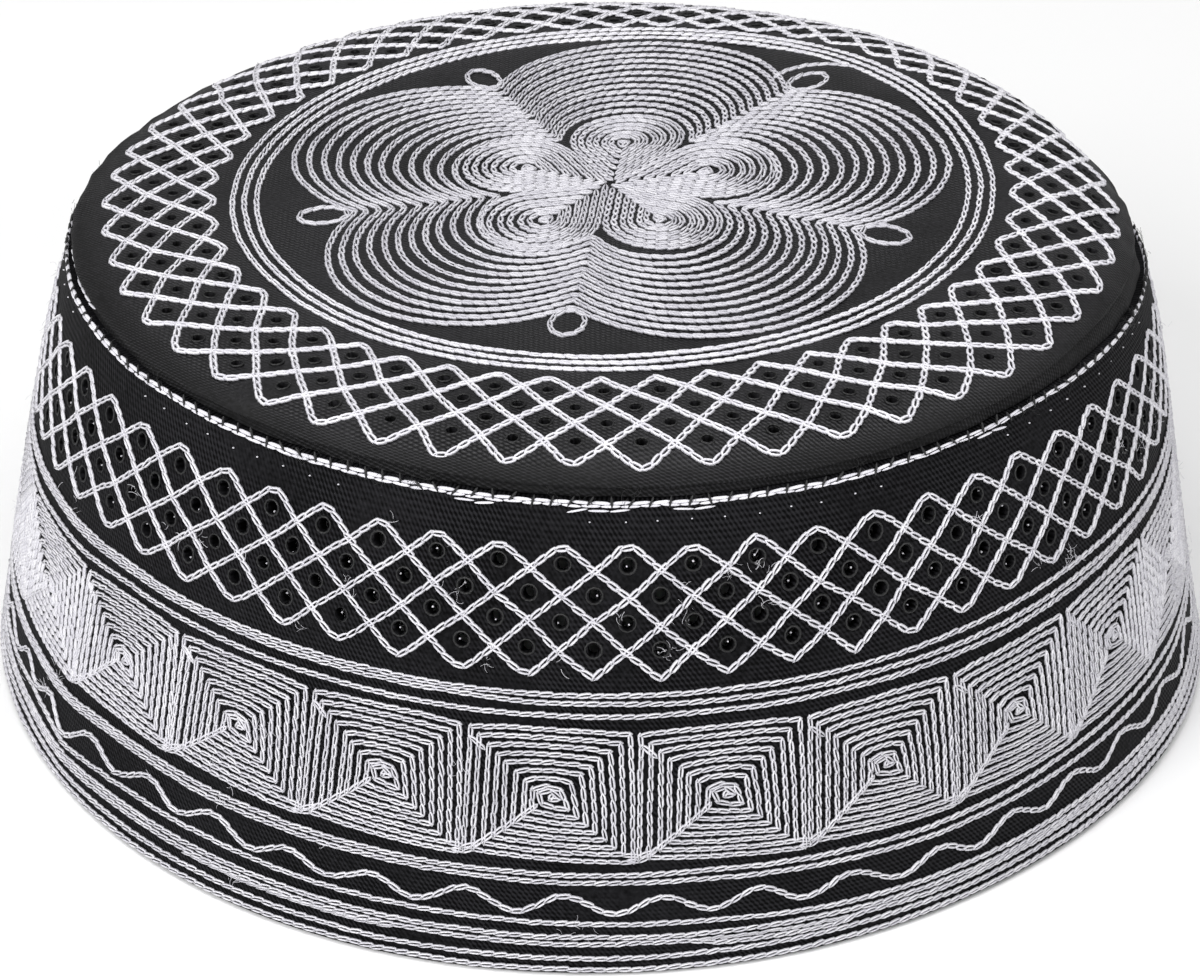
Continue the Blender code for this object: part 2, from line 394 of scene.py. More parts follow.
def copies(name, shape, stitching, material):
    """Join a copy of a small shape at every frame of a stitching into one mesh."""
    middles, forward, side, up, size, tone = stitching.gathered()
    corners = np.array([point.co for point in shape.verts])
    shape.faces.ensure_lookup_table()
    loops = np.array([point.index for face in shape.faces for point in face.verts])
    totals = np.array([len(face.verts) for face in shape.faces])
    thread = shape.loops.layers.uv.active
    wound = np.array([corner[thread].uv for face in shape.faces for corner in face.loops])
    count = len(middles)
    scaled = corners[None, :, :] * size[:, None, :]
    places = middles[:, None, :] + (
        scaled[:, :, :1] * forward[:, None, :]
        + scaled[:, :, 1:2] * side[:, None, :]
        + scaled[:, :, 2:] * up[:, None, :]
    )
    data = bpy.data.meshes.new(name)
    data.vertices.add(count * len(corners))
    data.vertices.foreach_set("co", places.ravel().astype(np.float32))
    all_loops = (loops[None, :] + len(corners) * np.arange(count)[:, None]).ravel()
    data.loops.add(len(all_loops))
    data.loops.foreach_set("vertex_index", all_loops.astype(np.int32))
    all_totals = np.tile(totals, count)
    data.polygons.add(len(all_totals))
    starts = np.concatenate([[0], np.cumsum(all_totals)[:-1]])
    data.polygons.foreach_set("loop_start", starts.astype(np.int32))
    data.update(calc_edges=True)
    uv = data.uv_layers.new(name="thread")
    uv.data.foreach_set("uv", np.tile(wound, (count, 1)).ravel().astype(np.float32))
    shade = data.attributes.new("tone", "FLOAT", "POINT")
    shade.data.foreach_set("value", np.repeat(tone, len(corners)).astype(np.float32))
    data.shade_smooth()
    return place_in_scene(name, data, material)


def spin(mesh, angle, steps, closed):
    """Turn all that a mesh holds round the Z axis and join the points that meet."""
    bmesh.ops.spin(
        mesh, geom=mesh.verts[:] + mesh.edges[:], cent=(0.0, 0.0, 0.0), axis=(0.0, 0.0, 1.0),
        angle=angle, steps=steps, use_merge=closed,
    )
    bmesh.ops.remove_doubles(mesh, verts=mesh.verts, dist=MERGE_DISTANCE)


def turned_strand(reach, radius, sides, angle, steps, closed):
    """A thin strand turned round the Z axis at a reach from it."""
    shape = bmesh.new()
    made = bmesh.ops.create_circle(shape, cap_ends=False, radius=radius, segments=sides)
    stand = Matrix.Translation((reach, 0.0, 0.0)) @ Matrix.Rotation(math.pi / 2, 4, "X")
    bmesh.ops.transform(shape, matrix=stand, verts=made["verts"])
    spin(shape, angle, steps, closed)
    return shape


def corner_turns(mesh):
    """Every face corner, its place and its turn round the Z axis, which doesn't jump inside a face."""
    for face in mesh.faces:
        middle = face.calc_center_median()
        base = math.atan2(middle.y, middle.x)
        for corner in face.loops:
            place = corner.vert.co
            turn = math.atan2(place.y, place.x)
            yield corner, place, base + (turn - base + math.pi) % math.tau - math.pi


def small_ring(radius, strand, sides, steps):
    """A closed ring of strand round the origin, with its UV along and round the strand."""
    shape = turned_strand(radius, 0.5 * strand, sides, math.tau, steps, closed=True)
    bmesh.ops.recalc_face_normals(shape, faces=shape.faces)
    layer = shape.loops.layers.uv.new("thread")
    for corner, place, turn in corner_turns(shape):
        reach = math.hypot(place.x, place.y) - radius
        corner[layer].uv = (turn / math.tau, math.atan2(place.z, reach) / math.tau)
    shape.verts.index_update()
    return shape


# Stations round one chain link: along it (share of half its length), across (share of half its width)
# and up (mm). Its tail lies over the head of the link before it.
LINK_STATIONS = (
    (1.0, 0.0, -0.05),
    (0.72, 0.80, -0.04),
    (0.20, 1.0, 0.0),
    (-0.50, 0.84, 0.03),
    (-1.0, 0.0, 0.05),
    (-0.50, -0.84, 0.03),
    (0.20, -1.0, 0.0),
    (0.72, -0.80, -0.04),
)


def chain_link():
    """One drop-shaped loop of the chain stitch, narrow at its tail and closed at both ends."""
    loop_radius = 1.0 * MM
    steps = len(LINK_STATIONS)
    shape = small_ring(loop_radius, STRAND * MM, sides=3, steps=steps)
    half_length = 0.5 * (LINK_LENGTH - STRAND) * MM
    half_width = 0.5 * (LINK_WIDTH - STRAND) * MM
    for point in shape.verts:
        turn = math.atan2(point.co.y, point.co.x) % math.tau
        station = LINK_STATIONS[round(turn / math.tau * steps) % steps]
        off = math.hypot(point.co.x, point.co.y) - loop_radius
        side = Vector((station[0] * 0.35, station[1])).normalized()
        point.co.x = station[0] * half_length + side.x * off
        point.co.y = station[1] * half_width + side.y * off
        point.co.z += station[2] * MM
    return shape


def jittered(count, spread, seed):
    return np.random.default_rng(seed).normal(0.0, spread, count)


# Lines of the design

def square_runs(seed):
    """Sides of one square's clockwise inward spiral, each a run of (azimuth, mm below top or above foot)."""
    draw = random.Random(seed)
    height = SQUARE_HEIGHT
    runs = []
    here = (-SQUARE_LEFT, 0.6 / height)
    for turn in range(SQUARE_TURNS):
        sway = [draw.gauss(0.0, 0.05) for _ in range(6)]
        left = -SQUARE_LEFT + SQUARE_STEP * turn
        right = SQUARE_RIGHT - SQUARE_STEP * turn
        top = 1.0 - SQUARE_TOP_STEP * turn / height
        foot = SQUARE_FOOT_STEP * turn / height
        top_left = (left + 0.12 + sway[0], top - (0.45 + sway[1]) / height)
        top_right = (right - 0.2 + sway[2], top - (0.45 + sway[3]) / height)
        foot_right = (right + 0.15 + 0.03 * turn, foot + (0.05 + sway[4]) / height)
        foot_left = (left + SQUARE_STEP + sway[5], foot + 0.75 / height)
        runs.append([here, top_left])
        reach = 2.8 - 0.28 * turn
        across = [(left + reach, top), (0.0, top + 0.1 / height), (right - reach, top)]
        runs.append([top_left, *across, top_right])
        runs.append([top_right, (right + 0.08, 0.5 * (top + foot)), foot_right])
        runs.append([foot_right, (0.0, foot + 0.35 / height), foot_left])
        here = foot_left
    runs.append([here, (-0.9, 0.53), (-0.5, 0.555), (0.6, 0.55), (0.9, 0.49)])
    runs.append([(0.9, 0.49), (0.2, 0.475), (-0.2, 0.50), (0.3, 0.515)])
    return runs


def square_stitching(first, last):
    stitching = Stitching(SEED + first)
    for number in range(first, last):
        middle = SQUARE_START + 360.0 / SQUARES * number
        runs = square_runs(100 + number)
        runs.append([(-6.95, 0.90), (-6.5, 0.87), (-5.9, 0.82)])
        runs.append([(-6.5, 0.055), (-3.6, 0.25), (-1.1, 0.43)])
        runs.append([(6.8, 0.02), (7.8, 0.01), (8.6, 0.04)])
        runs.append([(6.4, 0.07), (7.6, 0.05), (8.9, 0.085)])
        for run in runs:
            corners = np.array(run)
            az, share = middle + corners[:, 0], corners[:, 1]
            foot, top = line_height("square_foot", az), line_height("square_top", az)
            stitching.follow(BAND, az, foot + share * (top - foot), width=SQUARE_WIDTH)
    return stitching


def around(seed, sway, waves=37):
    """Azimuths right round the cap and a small hand-guided sway at each."""
    az = np.linspace(-180.0, 180.0, 721)
    draw = np.random.default_rng(seed)
    total = np.zeros_like(az)
    for count in draw.integers(5, waves, 6):
        total += np.cos(count * (az + draw.random() * 360.0) * DEG)
    return az, sway * total / 3.0


def band_line_stitching():
    stitching = Stitching(SEED + 41)
    plain = ("upper_a", "upper_b", "upper_c", "middle_a", "middle_b", "lower_a", "lower_b", "lower_c",
             "lower_d", "hem")
    for number, name in enumerate(plain):
        az, sway = around(60 + number, 0.06)
        if name == "lower_c":
            sway = sway - 0.85 * np.clip((az - 8.0) / 2.5, 0.0, 1.0) * np.clip((24.0 - az) / 2.5, 0.0, 1.0)
        stitching.follow(BAND, az, line_height(name, az) + sway, width=LINE_WIDTH)
    az = np.linspace(9.0, 22.5, 60)
    stitching.follow(BAND, az, line_height("lower_c", az), width=0.5, loose=1.5)
    az = np.linspace(-38.0, -17.0, 60)
    stitching.follow(BAND, az, line_height("lower_c", az) - 0.45, width=0.5, loose=1.5)
    return stitching


def wave_stitching():
    """The wave swings between its charted turns in front and between even ones behind."""
    turns = list(WAVE_TURNS)
    last, first = turns[-1][0], turns[0][0] + 360.0
    step = (first - last) / (2 * WAVES_BEHIND - 1)
    for number in range(1, 2 * WAVES_BEHIND - 1):
        turns.append((last + step * number, WAVE_BEHIND[(number + 1) % 2]))
    turns.append((first, turns[0][1]))
    az, height = [], []
    for (start, low), (end, high) in zip(turns, turns[1:]):
        share = np.linspace(0.0, 1.0, 9)[:-1]
        az.append(start + (end - start) * share)
        height.append(low + (high - low) * 0.5 * (1.0 - np.cos(math.pi * share)))
    stitching = Stitching(SEED + 42)
    stitching.follow(BAND, np.concatenate(az + [[first]]), np.concatenate(height + [[turns[-1][1]]]))
    return stitching


def zigzags(count, rows):
    """Node walks of the five threads that make a lattice of diamonds two and a half cells high."""
    walks = []
    for start in range(rows - 1):
        walk, half, row, way = [], 2 * start, 0, 1
        while half <= 2 * start + 2 * count:
            walk.append((half, row))
            row += way
            half += 1
            if row in (0, rows - 1):
                way = -way
        walks.append(walk)
    return walks


def blunted(rows, last_row, u, v):
    """Cut the corner at every tip of a zigzag, as the machine does where it turns."""
    points, line = np.stack([u, v], axis=1), []
    for number, row in enumerate(rows):
        at_tip = row in (0, last_row) and 0 < number < len(rows) - 1
        for other in (number - 1, number + 1) if at_tip else (number,):
            line.append(points[number] + np.array(TIP_CUT) * (points[other] - points[number]))
    return np.array(line).T


def lattice_stitching(face, seed, shift_seed, diamonds, start, nodes, spread, width, place):
    """Zigzag threads that make a lattice. Each crossing has a small shift that its two threads share."""
    stitching = Stitching(seed)
    draw = np.random.default_rng(shift_seed)
    rows = len(nodes)
    along = draw.normal(0.0, spread, (rows, 2 * diamonds))
    across = draw.normal(0.0, 0.16, (rows, 2 * diamonds))
    for walk in zigzags(diamonds, rows):
        half, row = np.array(walk).T
        column = half % (2 * diamonds)
        u, v = place(start + half * (180.0 / diamonds) + along[row, column], np.array(nodes)[row])
        u, v = blunted(row, rows - 1, u, v + across[row, column])
        stitching.follow(face, u, v, width=width)
    return stitching


def band_lattice_stitching():
    return lattice_stitching(
        BAND, SEED + 43, 7, BAND_DIAMONDS, BAND_LATTICE_START, BAND_NODES, 0.12, 1.06,
        place=lambda az, height: (az, height),
    )


def crown_lattice_stitching():
    return lattice_stitching(
        CROWN, SEED + 44, 8, CROWN_DIAMONDS, CROWN_LATTICE_START, CROWN_NODE_SHARES, 0.14, 1.28,
        place=lattice_place,
    )


def ring_stitching():
    stitching = Stitching(SEED + 45)
    for number, radius in enumerate(RINGS):
        az, sway = around(70 + number, 0.06)
        top = np.exp(-(wrapped(az - 90.0) / 30.0) ** 2)
        stitching.follow(CROWN, az, radius + 0.45 * np.cos(4.0 * az * DEG) + 0.8 * top + sway)
    return stitching


def petal_line(number):
    """One five-lobed line of the flower: azimuths and radii."""
    azimuths, radii = [], []
    notch_radius = PETAL_NOTCH - PETAL_NOTCH_STEP * number
    for petal, axis in enumerate(PETALS):
        apex = PETAL_APEX[petal] - (PETAL_APEX_STEP + 0.02 * (petal - 2)) * number
        half = 36.0 * DEG
        centre = (apex ** 2 - notch_radius ** 2) / (2.0 * (apex - notch_radius * math.cos(half)))
        radius = apex - centre
        turn = np.linspace(-36.0, 36.0, 41)[:-1] * DEG
        reach = centre * np.cos(turn) + np.sqrt(np.maximum(radius ** 2 - (centre * np.sin(turn)) ** 2, 0.0))
        left, right = NOTCHES[petal], NOTCHES[petal + 1]
        spread = np.where(turn < 0.0, axis - left, right - axis)
        azimuths.append(axis + turn / half * spread)
        radii.append(reach)
    azimuths = np.concatenate(azimuths + [azimuths[0][:1] + 360.0])
    radii = np.concatenate(radii + [radii[0][:1]])
    return azimuths, radii


def heart_line(petal, radius_share):
    """A drop-shaped loop inside a petal, its straight sides beside the notches' rays: azimuths and radii."""
    axis, centre = HEARTS[petal]
    opening = 36.0 * DEG
    centre *= 0.975 + 0.16 * radius_share
    radius = centre * radius_share
    tip = max(0.1, centre - radius / math.sin(opening))
    turn = np.linspace(126.0, -126.0, 43) * DEG
    x = centre + radius * np.cos(turn)
    y = radius * np.sin(turn)
    share = np.linspace(0.0, 1.0, 13)[:-1]
    x = np.concatenate([tip + share * (x[0] - tip), x, tip + (1.0 - share) * (x[-1] - tip)])
    y = np.concatenate([share * y[0], y, (1.0 - share) * y[-1]])
    turned = np.arctan2(y, x)
    left, right = HEART_NOTCHES[petal], HEART_NOTCHES[petal + 1]
    spread = np.where(turned < 0.0, axis - left, right - axis)
    return axis + turned / opening * spread, np.hypot(x, y)


def flower_stitching():
    stitching = Stitching(SEED + 46)
    for number in range(PETAL_LINES):
        az, radius = petal_line(number)
        begin = 17 + 53 * number % 150
        az = np.concatenate([az[begin:-1], az[:begin + 1] + 360.0])
        radius = np.concatenate([radius[begin:-1], radius[:begin + 1]])
        sway = 0.07 * np.sin(az * 7.0 * DEG + number) + 0.05 * np.sin(az * 13.0 * DEG + 2.0 * number)
        stitching.follow(CROWN, az, radius + sway, width=CROWN_WIDTH)
    for petal in range(len(PETALS)):
        for radius in HEART_RADII:
            az, reach = heart_line(petal, radius)
            stitching.follow(CROWN, az, reach, width=CROWN_WIDTH)
    for notch in NOTCHES[:-1]:
        turn = np.linspace(0.0, math.tau, 40)
        radius = 43.3 + 3.75 * np.cos(turn)
        stitching.follow(CROWN, notch + 2.5 * np.sin(turn) / radius / DEG, radius)
    az = np.array([44.5, 48.0, 51.0, 52.8, 53.0])
    stitching.follow(CROWN, az, np.array([51.8, 50.5, 48.0, 45.0, 42.0]))
    return stitching


# Cloth

def spun(profile, columns, start):
    """Turn a list of (radius, height) in metres once round the Z axis."""
    mesh = bmesh.new()
    first = start * DEG
    points = [mesh.verts.new((radius * math.cos(first), radius * math.sin(first), height))
              for radius, height in profile]
    for pair in zip(points, points[1:]):
        mesh.edges.new(pair)
    spin(mesh, math.tau, columns, closed=True)
    bmesh.ops.recalc_face_normals(mesh, faces=mesh.faces)
    return mesh


def open_eyelets(mesh, chosen, radius):
    """Open a round hole at every chosen point."""
    middles = {}
    for point in chosen:
        point.normal_update()
        middles[tuple(point.co)] = point.normal.copy()
    tree = kdtree.KDTree(len(middles))
    for number, place in enumerate(middles):
        tree.insert(place, number)
    tree.balance()
    outward = list(middles.values())
    corners = bmesh.ops.bevel(
        mesh, geom=chosen, offset=radius * MM, offset_type="OFFSET", segments=3,
        profile=0.5, affect="VERTICES", material=-1,
    )
    bmesh.ops.delete(mesh, geom=corners["faces"], context="FACES")
    for point in mesh.verts:
        if not point.is_boundary:
            continue
        middle, number, distance = tree.find(point.co)
        if distance > 1.5 * radius * MM:
            continue
        side = Vector((0.0, 0.0, 1.0)).cross(outward[number])
        side = side.normalized() if side.length > 0.3 else Vector((-middle.y, middle.x, 0.0)).normalized()
        up = outward[number].cross(side)
        reach = point.co - middle
        turn = math.degrees(math.atan2(reach.dot(up), reach.dot(side)))
        corner = 90.0 * math.floor(turn / 90.0 + 0.07) + 45.0
        if abs(turn - corner) < 38.0:
            turn = corner + 0.5 * (turn - corner)
        point.co = middle + (side * math.cos(turn * DEG) + up * math.sin(turn * DEG)) * (radius * MM)


def thicken(mesh):
    """Give the outer skin its wall, inwards and level at its free edges."""
    mesh.normal_update()
    inward = mesh.verts.layers.float_vector.new("inward")
    for point in mesh.verts:
        step = -point.normal
        if point[mesh.verts.layers.int["free_edge"]]:
            step.z = 0.0
            step.normalize()
        point[inward] = step * CLOTH * MM
    skin = bmesh.ops.extrude_face_region(mesh, geom=mesh.faces[:])
    for item in skin["geom"]:
        if isinstance(item, bmesh.types.BMVert):
            item.co += item[inward]
    bmesh.ops.recalc_face_normals(mesh, faces=mesh.faces)


def cloth_piece(name, node, mesh, material, sharp=50.0):
    data = bpy.data.meshes.new(name)
    mesh.to_mesh(data)
    mesh.free()
    data.shade_smooth()
    data.set_sharp_from_angle(angle=math.radians(sharp))
    piece = place_in_scene(name, data, material)
    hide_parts(node)
    return piece


def band_rows():
    """Heights of the band's rows: every eyelet row, and others between them at most 1.9 mm apart."""
    held = [0.0, 0.3, 0.8] + list(BAND_EYELETS) + [61.5, 63.0, 64.2, 65.1, SHOULDER_HEIGHT]
    rows = []
    for low, high in zip(held, held[1:]):
        parts = max(1, math.ceil((high - low) / 1.9))
        rows += [low + (high - low) * part / parts for part in range(parts)]
    return rows + [held[-1]]


def azimuth_of(place):
    return math.atan2(place.y, place.x) / DEG


def mark_of(place):
    """Mark of a place on the crown's cloth while it is flat."""
    return math.hypot(place.x, place.y) / MARK_STEP - MARK_START


def eyelet_points(mesh, start, diamonds, rows, row_of):
    """Points where the eyelets fall: in the even rows on the lattice's tips, in the odd ones between them."""
    chosen = []
    for point in mesh.verts:
        halves = (azimuth_of(point.co) - start) / (180.0 / diamonds)
        if abs(halves - round(halves)) > 0.2:
            continue
        for number, row in enumerate(rows):
            if abs(row_of(point.co) - row) < 1e-3 and (round(halves) + number) % 2 == 0:
                chosen.append(point)
    return chosen


def side_band_cloth(material):
    start = FRONT + BAND_LATTICE_START
    mesh = spun([(RIM_RADIUS * MM, height * MM) for height in band_rows()], 4 * BAND_DIAMONDS, start)
    chosen = eyelet_points(mesh, start, BAND_DIAMONDS, BAND_EYELETS, lambda place: place.z / MM)
    open_eyelets(mesh, chosen, BAND_HOLE)
    mark = mesh.verts.layers.int.new("free_edge")
    flat = mesh.loops.layers.uv.new("cloth")
    for corner, place, turn in corner_turns(mesh):
        corner[flat].uv = (turn * MAP_RADIUS, place.z)
    for point in mesh.verts:
        point[mark] = int(point.co.z < 1e-5 or point.co.z > (SHOULDER_HEIGHT - 0.01) * MM)
    az = np.array([azimuth_of(point.co) for point in mesh.verts]) - FRONT
    places, outward = frames(BAND, az, np.array([point.co.z / MM for point in mesh.verts]))
    for point, place, way in zip(mesh.verts, places, outward):
        soft = noise.noise(Vector(place) * 75.0) * 0.25 * MM
        rise = min(1.0, point.co.z / (6.0 * MM))
        fold = -0.5 * MM * max(0.0, 1.0 - point.co.z / (0.8 * MM)) ** 2
        level = Vector((way[0], way[1], 0.0)).normalized()
        point.co = Vector(place) + Vector(way) * soft * rise + level * fold
    thicken(mesh)
    return cloth_piece("side_band_cloth", "side_band", mesh, material)


def seam_tuck(from_front, above_seam):
    """How far (mm) the crown's edge is drawn in by its seam, and swells above it, with small puckers."""
    az = wrapped(from_front)
    strip = np.interp(az, TUCK_STATIONS, TUCK_HEIGHTS)
    lip = np.clip((above_seam - strip + 0.45) / 0.9, 0.0, 1.0)
    lip = lip * lip * (3.0 - 2.0 * lip)
    swell = np.exp(-((above_seam - strip - 1.5) / 1.3) ** 2)
    pucker = np.sin(az * 0.75) * 0.4 + np.sin(az * 0.42 + 1.3) * 0.35 + np.sin(az * 1.2 + 0.4) * 0.35
    return -TUCK_DEPTH * (1.0 - lip) * (1.0 + 0.25 * pucker) + swell * (0.3 + 0.4 * pucker)


def crown_cloth(material):
    """The crown's rows follow the lattice, so that its eyelets fall on them."""
    shares = [0.0, 0.085, 0.17, 0.28, 0.39, 0.49, 0.59, 0.695, 0.80, 0.9, 1.0]
    inner_rows = [0.0, 0.12, 0.24, 0.36, 0.48, 0.58, 0.67, 0.75, 0.82, 0.88, 0.94]
    roll_rows = [0.9, 0.8, 0.7, 0.61, 0.53, 0.46, 0.39, 0.33, 0.27, 0.21, 0.16, 0.11, 0.06, 0.0]
    marks = [share - 1.0 for share in inner_rows] + shares + [2.0 - share for share in roll_rows]
    profile = [((mark + MARK_START) * MARK_STEP, 0.0) for mark in marks]
    profile[0] = (0.0, 0.0)
    mesh = spun(profile, 4 * CROWN_DIAMONDS, CROWN_LATTICE_START)
    marking = mesh.verts.layers.int.new("free_edge")
    fallen = mesh.verts.layers.float.new("fallen")
    chosen = eyelet_points(mesh, CROWN_LATTICE_START, CROWN_DIAMONDS, CROWN_EYELET_SHARES, mark_of)
    az = np.array([azimuth_of(point.co) for point in mesh.verts])
    mark = np.array([mark_of(point.co) for point in mesh.verts])
    az, radius = lattice_place(az, mark)
    roll_at = np.arccos(np.clip((radius / EDGE_RADIUS) ** (0.5 * CROWN_EDGE_POWER), 0.0, 1.0))
    radius = np.where(mark < 0.0, radius * (mark + 1.0), radius)
    roll = roll_at * np.clip(2.0 - mark, 0.0, 1.0)
    on_roll = EDGE_RADIUS * np.cos(roll) ** (2.0 / CROWN_EDGE_POWER)
    radius = np.where(mark > 1.0, on_roll, radius)
    radius = np.clip(radius, 0.0, EDGE_RADIUS)
    surface, outward = frames(CROWN, az, radius)
    edge = mark > 1.995
    above_seam = np.where(mark > 1.0, CROWN_RISE * np.sin(roll), CROWN_RISE)
    tuck = seam_tuck(az - FRONT, above_seam)
    drop = np.where(mark > 1.0, CROWN_RISE * (np.sin(roll_at) - np.sin(roll)), 0.0)
    for point, place, way, last, pull, low in zip(mesh.verts, surface, outward, edge, tuck, drop):
        soft = 0.0 if last else noise.noise(Vector(place) * 70.0) * 0.3 * MM
        level = Vector((place[0], place[1], 0.0)).normalized()
        point.co = Vector(place) + Vector(way) * soft + level * (pull * MM)
        point[marking] = int(last)
        point[fallen] = low * MM
    open_eyelets(mesh, chosen, CROWN_HOLE)
    flat = mesh.loops.layers.uv.new("cloth")
    for face in mesh.faces:
        for corner in face.loops:
            place = corner.vert.co
            unrolled = 1.0 + corner.vert[fallen] / max(0.001, math.hypot(place.x, place.y))
            corner[flat].uv = (place.x * unrolled, place.y * unrolled)
    thicken(mesh)
    return cloth_piece("crown_cloth", "crown_panel", mesh, material)


# Eyelet rings and the seam

def eyelet_ring():
    """A stitched ring: a flat torus."""
    shape = small_ring(1.15 * MM, 0.46 * MM, sides=3, steps=12)
    bmesh.ops.scale(shape, verts=shape.verts, vec=(1.0, 1.0, 0.8))
    return shape


def eyelet_azimuths(start, diamonds, row):
    """Azimuths of one row of eyelets."""
    return start + 180.0 / diamonds * (2.0 * np.arange(diamonds) + row % 2)


def eyelet_stitching():
    stitching = Stitching(SEED + 47)
    for number, height in enumerate(BAND_EYELETS):
        az = eyelet_azimuths(BAND_LATTICE_START, BAND_DIAMONDS, number)
        middles, up = frames(BAND, az, np.full_like(az, height))
        stitching.add(middles, np.cross(up, [[0.3, 0.1, 1.0]]), up, lift=0.03, loose=1.2)
    for number, share in enumerate(CROWN_EYELET_SHARES):
        az = eyelet_azimuths(CROWN_LATTICE_START, CROWN_DIAMONDS, number)
        middles, up = frames(CROWN, *lattice_place(az, share))
        way = np.cross(up, [[0.3, 1.0, 0.1]])
        stitching.add(middles, way, up, stretch=0.86, lift=0.03, loose=1.5, width=0.86)
    return stitching


def seam_strand(sides=8, rings=6):
    """A plump stitch as long as one seam stitch and 1 mm across, to be scaled to its place."""
    shape = bmesh.new()
    bmesh.ops.create_uvsphere(shape, u_segments=sides, v_segments=rings, radius=0.5 * MM)
    bmesh.ops.rotate(shape, verts=shape.verts, cent=(0, 0, 0), matrix=Matrix.Rotation(math.pi / 2, 3, "Y"))
    layer = shape.loops.layers.uv.new("thread")
    for point in shape.verts:
        reach = abs(point.co.x) / (0.5 * MM)
        fuller = 1.0 + 0.25 * reach * (1.0 - reach ** 4)
        point.co.x *= SEAM_STITCH * 1.04
        point.co.y *= fuller
        point.co.z *= fuller * 0.45
    for face in shape.faces:
        for corner in face.loops:
            place = corner.vert.co
            corner[layer].uv = (place.x / (4.0 * MM), math.atan2(place.z, place.y) / math.tau)
    shape.verts.index_update()
    return shape


def seam_white_stitching():
    """Two strands side by side make the beads of the seam's line. A third row doubles it in places."""
    stitching = Stitching(SEED + 48)
    az, sway = around(95, 0.1)
    weight = np.interp(az, SEAM_STATIONS, SEAM_WEIGHTS)
    for row, fuller in ((0.0, 1.0), (0.74, 0.85)):
        height = SHOULDER_HEIGHT - 0.02 - row * weight + sway
        stitching.follow(BAND, az, height, SEAM_STITCH, 0.2, 0.0, 0.8, weight * fuller, 0.03)
    az = np.linspace(-90.0, -66.0, 60)
    radius = EDGE_RADIUS * (0.9975 + 0.0006 * np.sin(az * 0.6))
    stitching.follow(CROWN, az + FRONT, radius, SEAM_STITCH, -0.55, 0.0, 1.5, 0.38, 0.03)
    for start, end in DOUBLED_SEAM:
        az = np.linspace(start, end, 30)
        height = SHOULDER_HEIGHT - 0.9 + 0.08 * np.sin(az * 0.8)
        stitching.follow(BAND, az, height, SEAM_STITCH, 0.1, 0.0, 1.5, 0.34, 0.03)
    return stitching


def seam_black_stitching():
    """Thin whip stitches that cross the white line aslant between its beads and hold it down."""
    stitching = Stitching(SEED + 49)
    az, sway = around(95, 0.1)
    run = run_along(band_point(az, SHOULDER_HEIGHT - 0.02 + sway))
    count = round(run[-1] / (SEAM_STITCH * MM))
    az = np.interp(np.arange(count) * run[-1] / count, run, az) + jittered(count, 0.05, 5)
    height = np.full_like(az, SHOULDER_HEIGHT + 0.1) + jittered(count, 0.12, 11)
    middles, up = frames(BAND, az, height)
    lean = 0.4 * np.sign(np.sin(az * 0.07 + 1.0)) + jittered(count, 0.35, 12)
    slant = unit(along_band(az, height)) * lean[:, None] + np.array([[0.0, 0.0, 1.0]])
    stitching.add(middles, slant, up, stretch=0.68, lift=0.36, loose=1.5, width=0.34)
    return stitching


def seam_dot_stitching():
    stitching = Stitching(SEED + 50)
    az = np.arange(-180.0, 180.0, 3.2)
    az = az[np.sin(az * 0.13) + 0.4 * np.sin(az * 0.31) > -0.35]
    az = az + jittered(len(az), 0.15, 6)
    height = np.full_like(az, 63.7) + jittered(len(az), 0.08, 13)
    middles, up = frames(BAND, az, height)
    stitching.add(middles, along_band(az, height), up, stretch=0.1, lift=0.02, width=0.22)
    return stitching


def glint_stitching():
    """White under-thread that shows inside some eyelets."""
    stitching = Stitching(SEED + 51)
    draw = np.random.default_rng(31)
    for number, height in enumerate(BAND_EYELETS):
        az = eyelet_azimuths(BAND_LATTICE_START, BAND_DIAMONDS, number)
        az = az[draw.random(len(az)) < 0.7]
        az = az + draw.normal(0.0, 0.2, len(az))
        spot = height - 0.1 + draw.normal(0.0, 0.3, len(az))
        middles, up = frames(BAND, az, spot)
        way = np.cross(up, draw.normal(0.0, 1.0, (len(az), 3)))
        stitching.add(middles, way, up, stretch=0.11, lift=-0.45, loose=3.0, width=0.3)
    return stitching


def hair():
    """A fine loose fibre: a thin strand bent to an arc, closed at its ends."""
    shape = turned_strand(HAIR_BEND * MM, 0.03 * MM, 3, math.radians(65.0), 5, closed=False)
    bmesh.ops.holes_fill(shape, edges=[edge for edge in shape.edges if edge.is_boundary], sides=3)
    bmesh.ops.recalc_face_normals(shape, faces=shape.faces)
    shape.loops.layers.uv.new("thread")
    shape.verts.index_update()
    return shape


def hair_stitching(seed, clusters, low, high, stray=0.5):
    """Small bunches of loose fibres beside the stitches."""
    stitching = Stitching(seed)
    draw = np.random.default_rng(seed)
    for _ in range(clusters):
        count = int(draw.integers(3, 12))
        az = draw.random() * 360.0 + draw.normal(0.0, 0.3, count)
        height = low + draw.random() * (high - low) + draw.normal(0.0, 0.35, count)
        middles, up = frames(BAND, az, height)
        lying = unit(up + draw.normal(0.0, stray, (count, 3)))
        forward = np.cross(lying, draw.normal(0.0, 1.0, (count, 3)))
        middles = middles - 1.2 * MM * np.cross(lying, np.cross(forward, lying))
        stitching.add(middles, forward, lying, stretch=0.5 + 0.8 * draw.random(), lift=0.35, loose=3.0,
                      width=0.6 + 0.5 * draw.random())
    return stitching


# Materials

